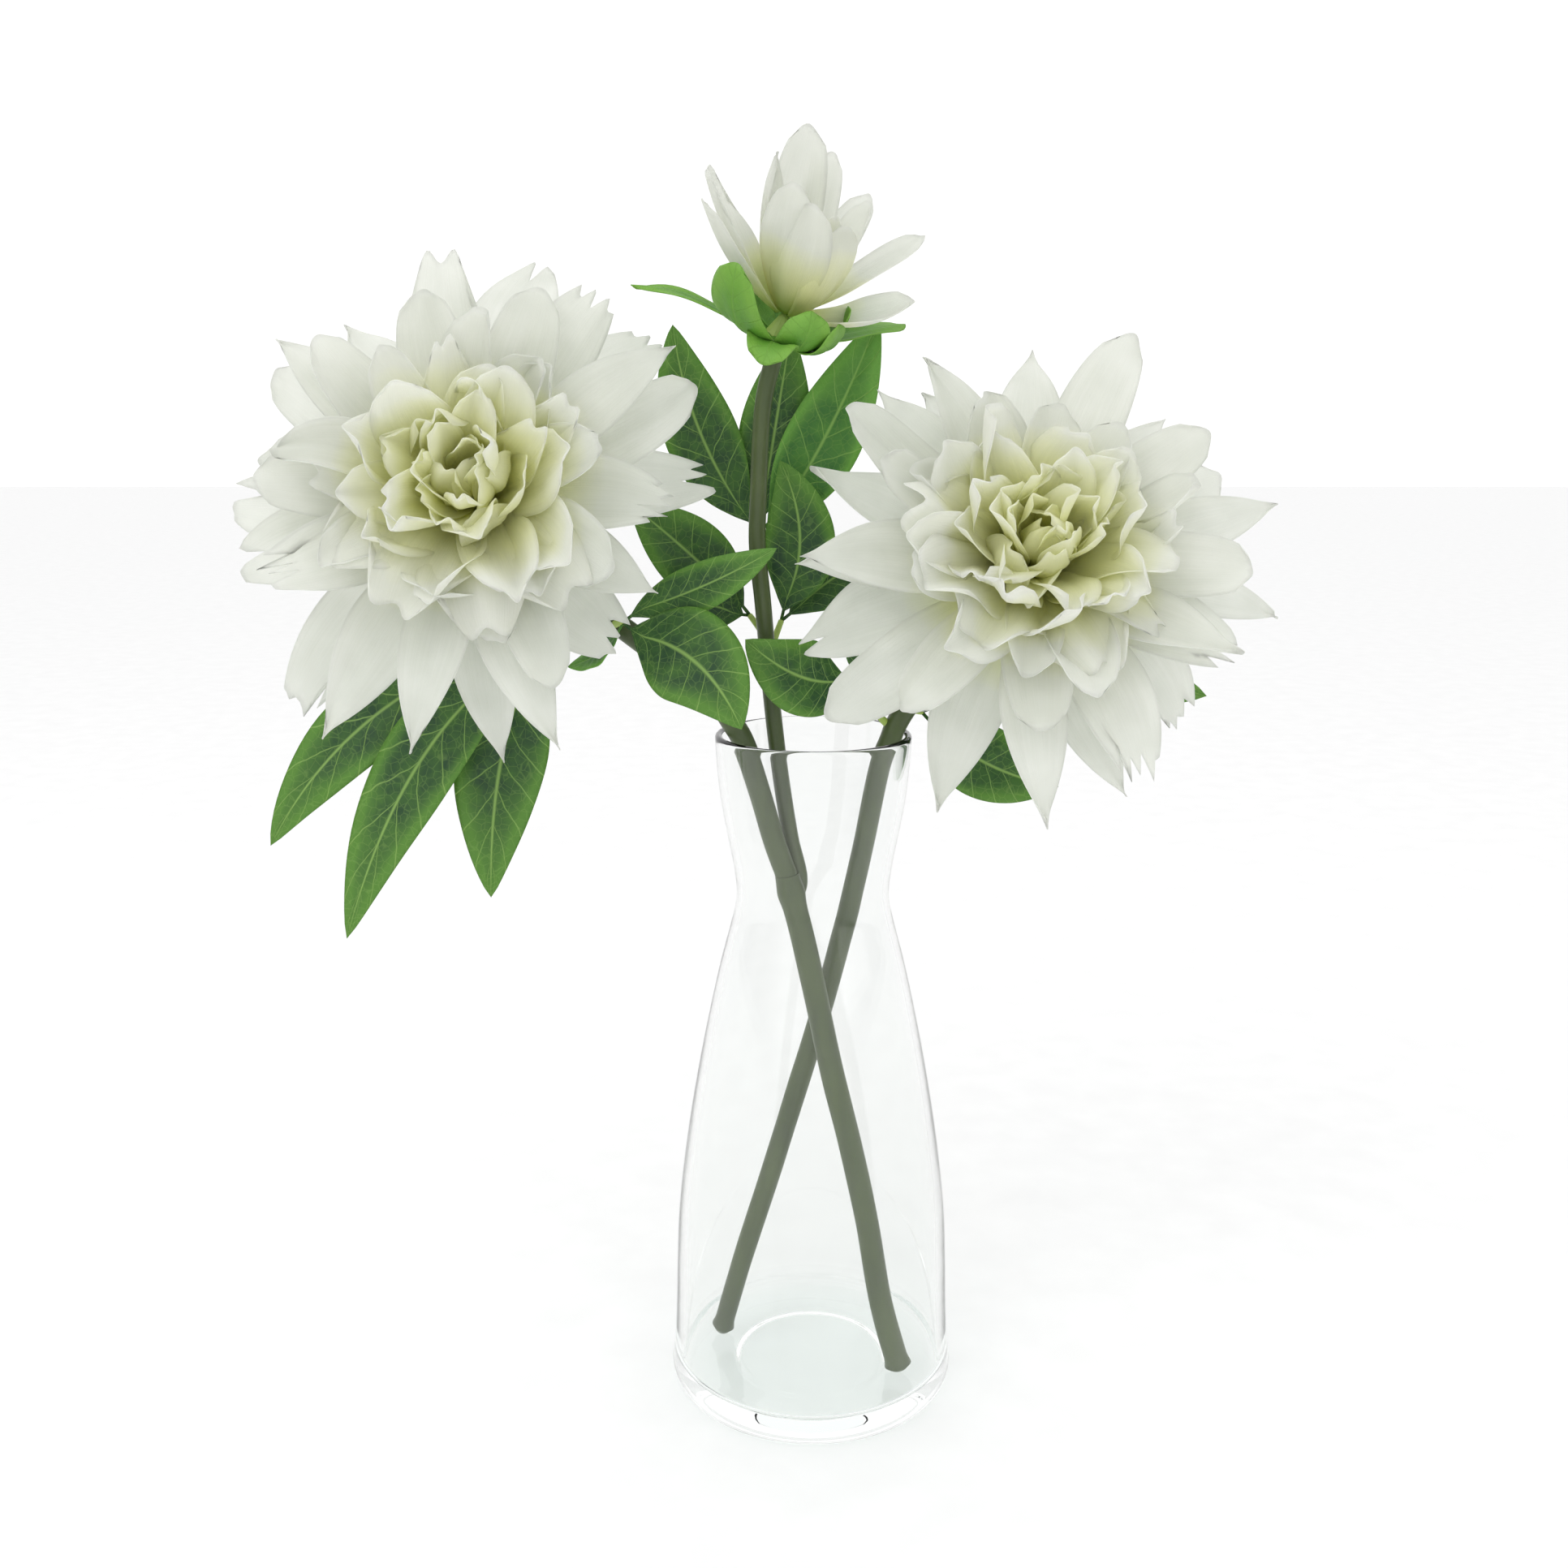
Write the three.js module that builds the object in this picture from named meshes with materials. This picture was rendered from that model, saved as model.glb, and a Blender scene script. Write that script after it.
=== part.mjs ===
// A clear glass vase that holds two cut stems of white fabric chrysanthemums:
// a forked stem with one open bloom and one half-open bloom, and a single stem
// with one open bloom. Millimetres, +Z up, origin at the centre of the vase's base.
import * as THREE from "three";

const RAD = Math.PI / 180;

// ---- driving dimensions -------------------------------------------------
const VASE_HEIGHT = 255;
const FLOOR_THICKNESS = 9.3;
const RIM_WALL = 2.5;
const FOOT_WALL_EXTRA = 1.4; // how much thicker the wall is at the foot than at the rim
const VASE_FACETS = 36;
const GAP = 0.35; // clearance left between neighbouring solids

const MAIN_STEM_RADIUS = 4.4;
const SIDE_STEM_RADIUS = 3.9;
const TOP_STEM_RADIUS = 3.0;
const STEM_FACETS = 9;
const PETIOLE_RADIUS = 1.1;

const PETAL_THICKNESS = 0.6;
const LEAF_THICKNESS = 0.6;
const PETAL_HALF_ANGLE = 17;
const ARC_LENGTH = 80; // the length over which a petal's rise goes from start to end

// Outer radius of the vase at each height, foot corner to rim.
const VASE_OUTLINE = [
  [54.3, 7], [53.3, 15], [52.5, 30], [51.9, 50], [50.9, 70], [47.6, 98],
  [43.4, 124], [38.3, 150], [33.9, 169.5], [30.6, 182], [28.5, 191], [28.1, 197],
  [29.3, 207], [31.7, 219.5], [33.8, 232], [35.0, 244], [35.5, VASE_HEIGHT - RIM_WALL / 2],
];
const INSIDE_HEIGHTS = [VASE_HEIGHT - RIM_WALL / 2, 232, 219.5, 207, 197, 191, 182, 169.5, 150, 124, 98, 70, 40, 16];

// ---- materials ----------------------------------------------------------
const MATERIALS = {
  glass: { color: 0xe9f1ef, roughness: 0.04, metalness: 0 },
  stem: { color: 0x5e6b4c, roughness: 0.5, metalness: 0 },
  petal: { color: 0xf2f3e6, roughness: 0.8, metalness: 0 },
  leaf: { color: 0x2f6b35, roughness: 0.6, metalness: 0 },
  sepal: { color: 0x5f9a34, roughness: 0.6, metalness: 0 },
};

const part = new THREE.Group();

function addNode(name, geometry, look) {
  const mesh = new THREE.Mesh(geometry, new THREE.MeshStandardMaterial(MATERIALS[look]));
  mesh.name = name;
  part.add(mesh);
}

// A closed sheet from rings of points: the first half of the rings runs out along its lower side,
// the second half back along its upper side. Both sides split their squares along the same diagonal.
function wrappedGrid(rings) {
  const count = rings[0].length;
  const positions = [];
  const faces = [];
  rings.forEach((ring) => ring.forEach((p) => positions.push(p.x, p.y, p.z)));
  for (let i = 0; i < rings.length; i++) {
    const next = (i + 1) % rings.length;
    for (let j = 0; j < count; j++) {
      const side = (j + 1) % count;
      const a = i * count + j;
      const b = i * count + side;
      const c = next * count + side;
      const d = next * count + j;
      if (i < rings.length / 2) {
        faces.push(a, b, c, a, c, d);
      } else {
        faces.push(a, b, d, b, c, d);
      }
    }
  }
  const geometry = new THREE.BufferGeometry();
  geometry.setAttribute("position", new THREE.Float32BufferAttribute(positions, 3));
  geometry.setIndex(faces);
  geometry.computeVertexNormals();
  return geometry;
}

// ---- vase ---------------------------------------------------------------
function outerRadius(z) {
  const above = VASE_OUTLINE.findIndex((point) => point[1] >= z);
  const [lowRadius, lowZ] = VASE_OUTLINE[above - 1];
  const [highRadius, highZ] = VASE_OUTLINE[above];
  return THREE.MathUtils.mapLinear(z, lowZ, highZ, lowRadius, highRadius);
}

function wallAt(z) {
  return RIM_WALL + FOOT_WALL_EXTRA * Math.max(0, 1 - z / 190);
}

function buildVase() {
  const outline = [new THREE.Vector2(0, 0), new THREE.Vector2(51, 0), new THREE.Vector2(53.6, 2.4)];
  VASE_OUTLINE.forEach(([radius, z]) => outline.push(new THREE.Vector2(radius, z)));
  const lip = RIM_WALL / 2;
  const rimCentre = 35.5 - lip;
  for (const angle of [45, 90, 135]) {
    const x = rimCentre + lip * Math.cos(angle * RAD);
    outline.push(new THREE.Vector2(x, VASE_HEIGHT - lip + lip * Math.sin(angle * RAD)));
  }
  for (const z of INSIDE_HEIGHTS) {
    outline.push(new THREE.Vector2(outerRadius(z) - wallAt(z), z));
  }
  outline.push(new THREE.Vector2(46.5, FLOOR_THICKNESS + 1.6));
  outline.push(new THREE.Vector2(43, FLOOR_THICKNESS));
  outline.push(new THREE.Vector2(0, FLOOR_THICKNESS));
  outline.push(new THREE.Vector2(0, 0));
  const geometry = new THREE.LatheGeometry(outline, VASE_FACETS);
  geometry.rotateX(Math.PI / 2);
  addNode("glass_vase", geometry, "glass");
}

// ---- stems --------------------------------------------------------------
function buildRod(name, points, radius, facets, steps, look) {
  const path = new THREE.CatmullRomCurve3(points.map((p) => new THREE.Vector3(...p)), false, "centripetal");
  const section = new THREE.Shape();
  for (let i = 0; i < facets; i++) {
    const angle = (2 * Math.PI * i) / facets;
    const x = radius * Math.cos(angle);
    const y = radius * Math.sin(angle);
    if (i === 0) {
      section.moveTo(x, y);
    } else {
      section.lineTo(x, y);
    }
  }
  section.closePath();
  addNode(name, new THREE.ExtrudeGeometry(section, { steps, extrudePath: path, bevelEnabled: false }), look);
}

const MAIN_STEM = [
  [33, -18.5, 11.2], [26.2, -16.6, 37], [20.4, -14.7, 71], [14, -13, 101],
  [7.2, -11.8, 129], [0.5, -9.9, 161], [-4.8, -8.4, 185], [-9.0, -7, 202],
];
const LEFT_BRANCH = [
  [-9.2, -7, 202.9], [-13.8, -7.4, 216], [-19.3, -8, 235.4], [-25.3, -8.7, 253.9], [-29.4, -9, 261],
  [-35, -9.3, 269.5], [-44.6, -9.7, 276.8], [-70.7, -8, 296.6], [-98, 4, 313], [-113, 8, 325],
  [-116, 0, 331], [-114.4, -14, 333.2],
];
const TOP_BRANCH = [
  [-4.9, -0.2, 199], [-8.2, -0.6, 216.3], [-11.8, -0.8, 239.4], [-15, -0.6, 267], [-18.1, -0.4, 302],
  [-20, -0.3, 322], [-19.7, -0.2, 336], [-17.6, -0.2, 371], [-13.5, -0.6, 388.5],
];
const RIGHT_STEM = [
  [-36, 8, 10.8], [-27.6, 7.6, 41], [-16.6, 7, 77], [-6.2, 6.6, 112.6], [3.6, 6.2, 146.5],
  [11.9, 5.6, 179.6], [18.3, 4.6, 208.7], [25.1, 3, 244], [28.0, 2.2, 252], [30.0, 2.2, 257.5], [36.4, 3.4, 267.2],
  [52, 6, 281], [66, 4, 293], [71, -6, 299.5], [71, -18, 306],
];

// ---- blooms -------------------------------------------------------------
// Each bloom has a hub point, an axis that looks out of its face, and the
// matching sideways and upward directions across the face.
function bloomFrame(hub, axis) {
  const a = new THREE.Vector3(...axis).normalize();
  const across = new THREE.Vector3(0, 0, 1).cross(a).normalize();
  const up = new THREE.Vector3().crossVectors(a, across);
  return { hub: new THREE.Vector3(...hub), a, across, up };
}

function inBloom(frame, azimuth, radius, height) {
  return frame.hub.clone()
    .addScaledVector(frame.across, radius * Math.cos(azimuth * RAD))
    .addScaledVector(frame.up, radius * Math.sin(azimuth * RAD))
    .addScaledVector(frame.a, height);
}

// A petal's centre line is an arc: its rise above the bloom's plane turns
// steadily from riseStart at the hub to riseEnd at ARC_LENGTH.
function alongPetal(whorl, distance) {
  const start = whorl.riseStart * RAD;
  const turn = ((whorl.riseEnd - whorl.riseStart) * RAD) / ARC_LENGTH;
  const rise = start + turn * distance;
  const radius = whorl.radius + (Math.sin(rise) - Math.sin(start)) / turn;
  const height = whorl.height + (Math.cos(start) - Math.cos(rise)) / turn;
  return { rise, radius, height };
}

// One ring of petals, joined at the hub, as a thin star-shaped sheet around the receptacle.
function buildWhorl(name, frame, whorl, look) {
  const petals = [...whorl.petals].sort((p, q) => p[0] - q[0]);
  const columns = [];
  petals.forEach(([azimuth, length], i) => {
    const previous = petals[(i + petals.length - 1) % petals.length];
    const next = petals[(i + 1) % petals.length];
    const gapBefore = (azimuth - previous[0] + 360) % 360;
    const gapAfter = (next[0] - azimuth + 360) % 360;
    const before = Math.min(whorl.halfAngle, gapBefore / 2.2);
    const after = Math.min(whorl.halfAngle, gapAfter / 2.2);
    const web = whorl.web * Math.min(length, next[1]);
    if (whorl.pointed) {
      columns.push([azimuth - 0.85 * before, 0.74 * length], [azimuth - 0.35 * before, length]);
      columns.push([azimuth + 0.35 * after, length], [azimuth + 0.85 * after, 0.74 * length]);
    } else {
      columns.push([azimuth - 0.55 * before, length], [azimuth + 0.55 * after, length]);
    }
    columns.push([azimuth + gapAfter / 2, web]);
  });
  const rings = [];
  const half = PETAL_THICKNESS / 2;
  const rows = [...Array(whorl.rows + 1).keys()];
  const ringAt = (row, side) => columns.map(([azimuth, length]) => {
    const place = alongPetal(whorl, (length * row) / whorl.rows);
    const radius = place.radius - side * half * Math.sin(place.rise);
    return inBloom(frame, azimuth, radius, place.height + side * half * Math.cos(place.rise));
  });
  rows.forEach((row) => rings.push(ringAt(row, -1)));
  rows.reverse().forEach((row) => rings.push(ringAt(row, 1)));
  addNode(name, wrappedGrid(rings), look);
}

function evenly(count, offset, length) {
  return [...Array(count).keys()].map((i) => [offset + (360 * i) / count, length]);
}

// The receptacle is a cone; rings of petals sit around it, the outermost lowest.
function buildReceptacle(name, frame, baseRadius, height) {
  const outline = [[0, -2], [baseRadius, -2], [baseRadius, 0], [0.8, height], [0, height]];
  const geometry = new THREE.LatheGeometry(outline.map((p) => new THREE.Vector2(...p)), 12);
  const basis = new THREE.Matrix4().makeBasis(frame.up, frame.a, frame.across);
  basis.setPosition(frame.hub);
  geometry.applyMatrix4(basis);
  addNode(name, geometry, "sepal");
}

function buildBloom(prefix, spec) {
  const frame = bloomFrame(spec.hub, spec.axis);
  const slope = (spec.coneRadius - 0.8) / spec.coneHeight;
  buildReceptacle(`${prefix}_receptacle`, frame, spec.coneRadius, spec.coneHeight);
  spec.rings.forEach(([riseStart, riseEnd, petals], i) => {
    const height = spec.ringStep * (i + 0.55);
    const radius = spec.coneRadius - slope * height + GAP + 0.45;
    const whorl = { riseStart, riseEnd, petals, height, radius, web: spec.web };
    whorl.rows = i < spec.finerRings ? 3 : 2;
    whorl.pointed = i < 3;
    whorl.halfAngle = spec.halfAngle + spec.widen * i;
    buildWhorl(`${prefix}_petals_${i + 1}`, frame, whorl, "petal");
  });
  buildWhorl(`${prefix}_calyx`, frame, { ...spec.calyx, rows: 2, web: 0.5, pointed: true }, "sepal");
}

// Petals are [azimuth, length]; azimuth turns from the bloom's right side towards its top.
const INNER_RINGS = [
  [38.5, 26, evenly(9, 15, 58)],
  [48, 38, evenly(8, 0, 48)],
  [57.5, 50, evenly(7, 20, 38)],
  [67, 62, evenly(6, 5, 29)],
  [76.5, 74, evenly(5, 30, 20)],
];
const OPEN_CALYX = {
  riseStart: 0, riseEnd: -40, petals: evenly(5, 18, 30), height: -3.6, radius: 5.0, halfAngle: 24,
};
const OPEN_BLOOM = { coneRadius: 7.5, coneHeight: 13, ringStep: 1.5, halfAngle: PETAL_HALF_ANGLE, widen: 1.5, web: 0.3, finerRings: 2 };

const LEFT_BLOOM = {
  ...OPEN_BLOOM,
  hub: [-113, -30, 338],
  axis: [0.083, -0.945, 0.317],
  calyx: OPEN_CALYX,
  rings: [
    [10, -20, [[8, 76], [48, 84], [80, 90], [120, 70], [150, 72], [185, 73], [223, 84], [272, 80], [309, 62]]],
    [19.5, -4, [[20, 76], [60, 76], [100, 76], [140, 76], [167, 64], [198, 74], [238, 87], [283, 84], [328, 64]]],
    [29, 12, [[358, 64], [34, 80], [68, 66], [105, 62], [140, 64], [175, 64], [210, 70], [258, 86], [296, 68]]],
    ...INNER_RINGS,
  ],
};
const RIGHT_BLOOM = {
  ...OPEN_BLOOM,
  hub: [71, -30, 313],
  axis: [0, -0.866, 0.5],
  calyx: OPEN_CALYX,
  rings: [
    [10, -20, [[32, 70], [70, 80], [108, 78], [150, 78], [195, 74], [243, 79], [285, 74], [318, 66], [354, 79]]],
    [19.5, -4, [[14, 85], [52, 66], [91, 77], [125, 75], [176, 72], [220, 80], [266, 83], [298, 78], [332, 68]]],
    [29, 12, [[38, 67], [70, 80], [113, 74], [144, 76], [184, 76], [232, 66], [268, 60], [326, 71], [355, 66]]],
    ...INNER_RINGS,
  ],
};
const TOP_BLOOM = {
  coneRadius: 5, coneHeight: 8, ringStep: 1.3, halfAngle: 30, widen: 1, web: 0.35, finerRings: 1,
  hub: [-12, -1, 394],
  axis: [0.27, -0.36, 0.89],
  calyx: {
    riseStart: 5, riseEnd: 70, petals: [[15, 26], [95, 28], [170, 34], [232, 26], [300, 24]],
    height: -3.2, radius: 3.9, halfAngle: 30,
  },
  rings: [
    [20, 92, [[5, 64], [78, 66], [160, 70], [232, 62], [300, 56]]],
    [33, 102, [[40, 62], [115, 68], [190, 68], [262, 56], [335, 52]]],
    [46, 104, [[10, 46], [82, 50], [154, 50], [226, 46], [298, 44]]],
    [58, 100, [[46, 36], [118, 38], [190, 38], [262, 36], [334, 36]]],
    [70, 96, evenly(5, 10, 27)],
  ],
};

// ---- leaves -------------------------------------------------------------
// A leaflet is a thin pointed blade along a bent midrib. Its two halves fold
// a little towards the face direction.
function buildLeaflet(name, { base, bend, tip, width, face }) {
  const rib = new THREE.QuadraticBezierCurve3(
    new THREE.Vector3(...base), new THREE.Vector3(...bend), new THREE.Vector3(...tip));
  const towards = new THREE.Vector3(...face).normalize();
  const stations = [0, 0.15, 0.35, 0.6, 0.82, 1];
  const sections = stations.map((t) => {
    const centre = rib.getPoint(t);
    const side = new THREE.Vector3().crossVectors(rib.getTangent(t), towards).normalize();
    const normal = new THREE.Vector3().crossVectors(side, rib.getTangent(t)).normalize();
    const reach = Math.max(0.35, (width / 2) * Math.sin(Math.PI * Math.pow(t, 0.85)) ** 0.8);
    const lift = 0.22 * reach;
    const at = (across, thickness) => centre.clone()
      .addScaledVector(side, across * reach)
      .addScaledVector(normal, Math.abs(across) * lift + thickness * LEAF_THICKNESS / 2);
    return [at(-1, 1), at(0, 1), at(1, 1), at(1, -1), at(0, -1), at(-1, -1)];
  });
  addNode(name, cappedLoops(sections), "leaf");
}

// A closed solid from a run of same-sized loops, with a flat strip at each end.
function cappedLoops(loops) {
  const count = loops[0].length;
  const positions = [];
  const faces = [];
  loops.forEach((loop) => loop.forEach((p) => positions.push(p.x, p.y, p.z)));
  for (let i = 0; i + 1 < loops.length; i++) {
    for (let j = 0; j < count; j++) {
      const side = (j + 1) % count;
      const a = i * count + j;
      const b = i * count + side;
      faces.push(a, b, b + count, a, b + count, a + count);
    }
  }
  const last = (loops.length - 1) * count;
  for (let j = 0; j + 1 < count / 2; j++) {
    const opposite = count - 1 - j;
    faces.push(j + 1, j, opposite, j + 1, opposite, opposite - 1);
    faces.push(last + j, last + j + 1, last + opposite - 1, last + j, last + opposite - 1, last + opposite);
  }
  const geometry = new THREE.BufferGeometry();
  geometry.setAttribute("position", new THREE.Float32BufferAttribute(positions, 3));
  geometry.setIndex(faces);
  geometry.computeVertexNormals();
  return geometry;
}

const LEAVES = {
  lower_left: {
    petiole: [[-99, 9.6, 309], [-101, 6, 300], [-101, -4, 291]],
    leaflets: [
      { base: [-106, -3, 288], bend: [-168, -4, 268], tip: [-195, -12, 216], width: 27, face: [0.1, -0.9, 0.4] },
      { base: [-104, -11, 283], bend: [-146, -16, 256], tip: [-168, -18, 183], width: 28, face: [0, -1, 0.25] },
      { base: [-99, -4, 282], bend: [-117, -3, 250], tip: [-117, -10, 196], width: 32, face: [0, -1, 0.1] },
    ],
  },
  behind_top: {
    petiole: [[-20, 3.2, 317], [-20.6, 12, 319], [-20, 21, 325]],
    leaflets: [
      { base: [-23, 23, 329], bend: [-46, 26, 360], tip: [-50, 20, 398], width: 26, face: [0, -1, 0.1] },
      { base: [-19, 26, 331], bend: [-14, 30, 362], tip: [-8, 25, 396], width: 25, face: [0, -1, 0.1] },
      { base: [-15.5, 22, 328], bend: [6, 24, 356], tip: [23, 20, 401], width: 27, face: [0, -1, 0.1] },
    ],
  },
  behind_left: {
    petiole: [[-17.8, 3.4, 288], [-19, 8, 291], [-23, 12, 296]],
    leaflets: [
      { base: [-25.5, 14, 299.5], bend: [-44, 20, 318], tip: [-66, 14, 336], width: 26, face: [0, -1, 0.2] },
      { base: [-26.5, 11, 295.5], bend: [-40, 10, 304], tip: [-60, 8, 299], width: 24, face: [0.1, -1, 0.3] },
    ],
  },
  front_left: {
    petiole: [[-69, -13.2, 296], [-68, -15, 296.5], [-66, -18, 297]],
    leaflets: [
      { base: [-63.5, -16.5, 300.5], bend: [-38, -21, 308], tip: [-13, -26, 323], width: 16, face: [0, -1, 0.3] },
      { base: [-63, -22, 293], bend: [-38, -33, 293], tip: [-25, -36, 263], width: 33, face: [0.1, -1, 0.4] },
      { base: [-68, -18.6, 293], bend: [-74, -16, 284], tip: [-86, -14, 281], width: 14, face: [0, -0.5, 1] },
    ],
  },
  behind_right: {
    petiole: [[-15.3, 3, 284], [-14, 8, 288], [-11.6, 12, 294]],
    leaflets: [
      { base: [-11.6, 12.5, 298.5], bend: [2, 12, 322], tip: [-12, 13, 351], width: 25, face: [0, -1, 0.1] },
      { base: [-7.6, 16, 296], bend: [10, 28, 314], tip: [36, 24, 320], width: 22, face: [0, -1, 0.3] },
    ],
  },
  mouth: {
    petiole: [[25.6, 1.4, 259], [20, -5, 266], [15.5, -8, 273]],
    leaflets: [
      { base: [12, -9.6, 276], bend: [-4, -17, 272], tip: [-24, -17, 291], width: 27, face: [0, -1, 0.4] },
      { base: [15, -8.6, 277.5], bend: [18, -8, 290], tip: [29, -10, 303], width: 16, face: [0.2, -1, 0.1] },
    ],
  },
  behind_bloom: {
    petiole: [[35, 7.4, 262], [37, 9, 261.5], [40, 11.5, 260.5]],
    leaflets: [
      { base: [43, 10, 257], bend: [62, 8, 238], tip: [90, 4, 234], width: 27, face: [0, -1, 0.3] },
      { base: [45, 16, 262], bend: [98, 22, 278], tip: [145, 14, 266], width: 30, face: [0, -1, 0.3] },
      { base: [41, 21, 266], bend: [62, 32, 300], tip: [98, 30, 320], width: 26, face: [0, -1, 0.2] },
    ],
  },
};

// ---- assembly -----------------------------------------------------------
buildVase();
buildRod("forked_stem", MAIN_STEM, MAIN_STEM_RADIUS, STEM_FACETS, 12, "stem");
buildRod("left_branch", LEFT_BRANCH, SIDE_STEM_RADIUS, STEM_FACETS, 22, "stem");
buildRod("top_branch", TOP_BRANCH, TOP_STEM_RADIUS, STEM_FACETS, 14, "stem");
buildRod("right_stem", RIGHT_STEM, SIDE_STEM_RADIUS, STEM_FACETS, 26, "stem");
buildBloom("left_bloom", LEFT_BLOOM);
buildBloom("right_bloom", RIGHT_BLOOM);
buildBloom("top_bloom", TOP_BLOOM);
for (const [place, leaf] of Object.entries(LEAVES)) {
  buildRod(`${place}_petiole`, leaf.petiole, PETIOLE_RADIUS, 6, 3, "sepal");
  leaf.leaflets.forEach((leaflet, i) => buildLeaflet(`${place}_leaflet_${i + 1}`, leaflet));
}

export default part;
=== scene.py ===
"""White fabric chrysanthemums in a clear glass vase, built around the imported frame."""
import math
import random

import bpy
from mathutils import Matrix, Vector, noise


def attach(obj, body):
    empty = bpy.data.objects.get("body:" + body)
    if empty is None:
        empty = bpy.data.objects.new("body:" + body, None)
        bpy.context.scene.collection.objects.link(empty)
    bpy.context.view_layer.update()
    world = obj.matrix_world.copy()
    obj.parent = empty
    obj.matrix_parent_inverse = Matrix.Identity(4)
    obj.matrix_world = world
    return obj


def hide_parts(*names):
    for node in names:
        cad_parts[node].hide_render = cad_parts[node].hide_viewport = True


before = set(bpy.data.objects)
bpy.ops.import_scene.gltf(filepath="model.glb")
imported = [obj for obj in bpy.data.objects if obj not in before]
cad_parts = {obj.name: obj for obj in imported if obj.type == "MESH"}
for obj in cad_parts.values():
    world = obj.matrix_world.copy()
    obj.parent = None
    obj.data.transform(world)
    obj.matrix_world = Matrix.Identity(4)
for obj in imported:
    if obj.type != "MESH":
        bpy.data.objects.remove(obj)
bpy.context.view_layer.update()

MM = 0.001
SEED = 7
PETAL_THICKNESS = 0.35
LEAF_THICKNESS = 0.4
VEIN_PAIRS, VEIN_SLANT = 7.5, 1.35  # side veins along a leaflet and how far they sweep forward
OPEN_HEART_REACH = 56  # how far from the middle an open bloom is tinted yellow
FLOOR_GAP = 0.0006  # metres between the vase foot and the studio floor
ARC_LENGTH = 80  # the length over which a ring's rise goes from start to end


# ---- camera, lights, floor ------------------------------------------------
def add_camera():
    data = bpy.data.cameras.new("camera")
    data.sensor_width = 36
    data.lens = 36.58
    data.clip_start = 0.01
    camera = bpy.data.objects.new("camera", data)
    camera.location = (-0.0106, -0.5655, 0.3639)
    camera.rotation_euler = (math.radians(90 - 12.75), 0, 0)
    bpy.context.scene.collection.objects.link(camera)
    bpy.context.scene.camera = camera


def add_area_light(name, place, target, size, power):
    data = bpy.data.lights.new(name, "AREA")
    data.shape = "SQUARE"
    data.size = size
    data.energy = power
    light = bpy.data.objects.new(name, data)
    light.location = place
    light.rotation_euler = (Vector(target) - Vector(place)).to_track_quat("-Z", "Y").to_euler()
    bpy.context.scene.collection.objects.link(light)


def add_world():
    """A white studio with dimmer walls at the two sides, so that glass edges read as grey."""
    bpy.context.scene.view_settings.view_transform = "Standard"
    world = bpy.data.worlds.new("studio")
    bpy.context.scene.world = world
    world.use_nodes = True
    nodes, links = world.node_tree.nodes, world.node_tree.links
    direction = nodes.new("ShaderNodeTexCoord")
    split = nodes.new("ShaderNodeSeparateXYZ")
    sideways = nodes.new("ShaderNodeMath")
    sideways.operation = "ABSOLUTE"
    dim = nodes.new("ShaderNodeValToRGB")
    dim.color_ramp.elements[0].position = 0.62
    dim.color_ramp.elements[0].color = (1, 1, 1, 1)
    dim.color_ramp.elements[1].position = 0.93
    dim.color_ramp.elements[1].color = (0.42, 0.42, 0.42, 1)
    links.new(direction.outputs["Generated"], split.inputs[0])
    links.new(split.outputs["X"], sideways.inputs[0])
    links.new(sideways.outputs[0], dim.inputs["Fac"])
    seen = nodes.new("ShaderNodeMix")
    seen.data_type = "RGBA"
    seen.inputs[7].default_value = (1, 1, 1, 1)
    links.new(nodes.new("ShaderNodeLightPath").outputs["Is Camera Ray"], seen.inputs[0])
    links.new(dim.outputs["Color"], seen.inputs[6])
    links.new(seen.outputs[2], nodes["Background"].inputs["Color"])
    nodes["Background"].inputs["Strength"].default_value = 1.12


def add_studio():
    add_world()
    add_area_light("key", (-0.9, -0.9, 1.5), (0, 0, 0.3), 1.0, 6)
    add_area_light("fill", (1.2, -0.8, 0.8), (0, 0, 0.3), 1.2, 2)
    bpy.ops.mesh.primitive_plane_add(size=12, location=(0, 3, -FLOOR_GAP))
    floor = bpy.context.object
    floor.name = "floor"
    floor.data.materials.append(floor_material())


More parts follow.
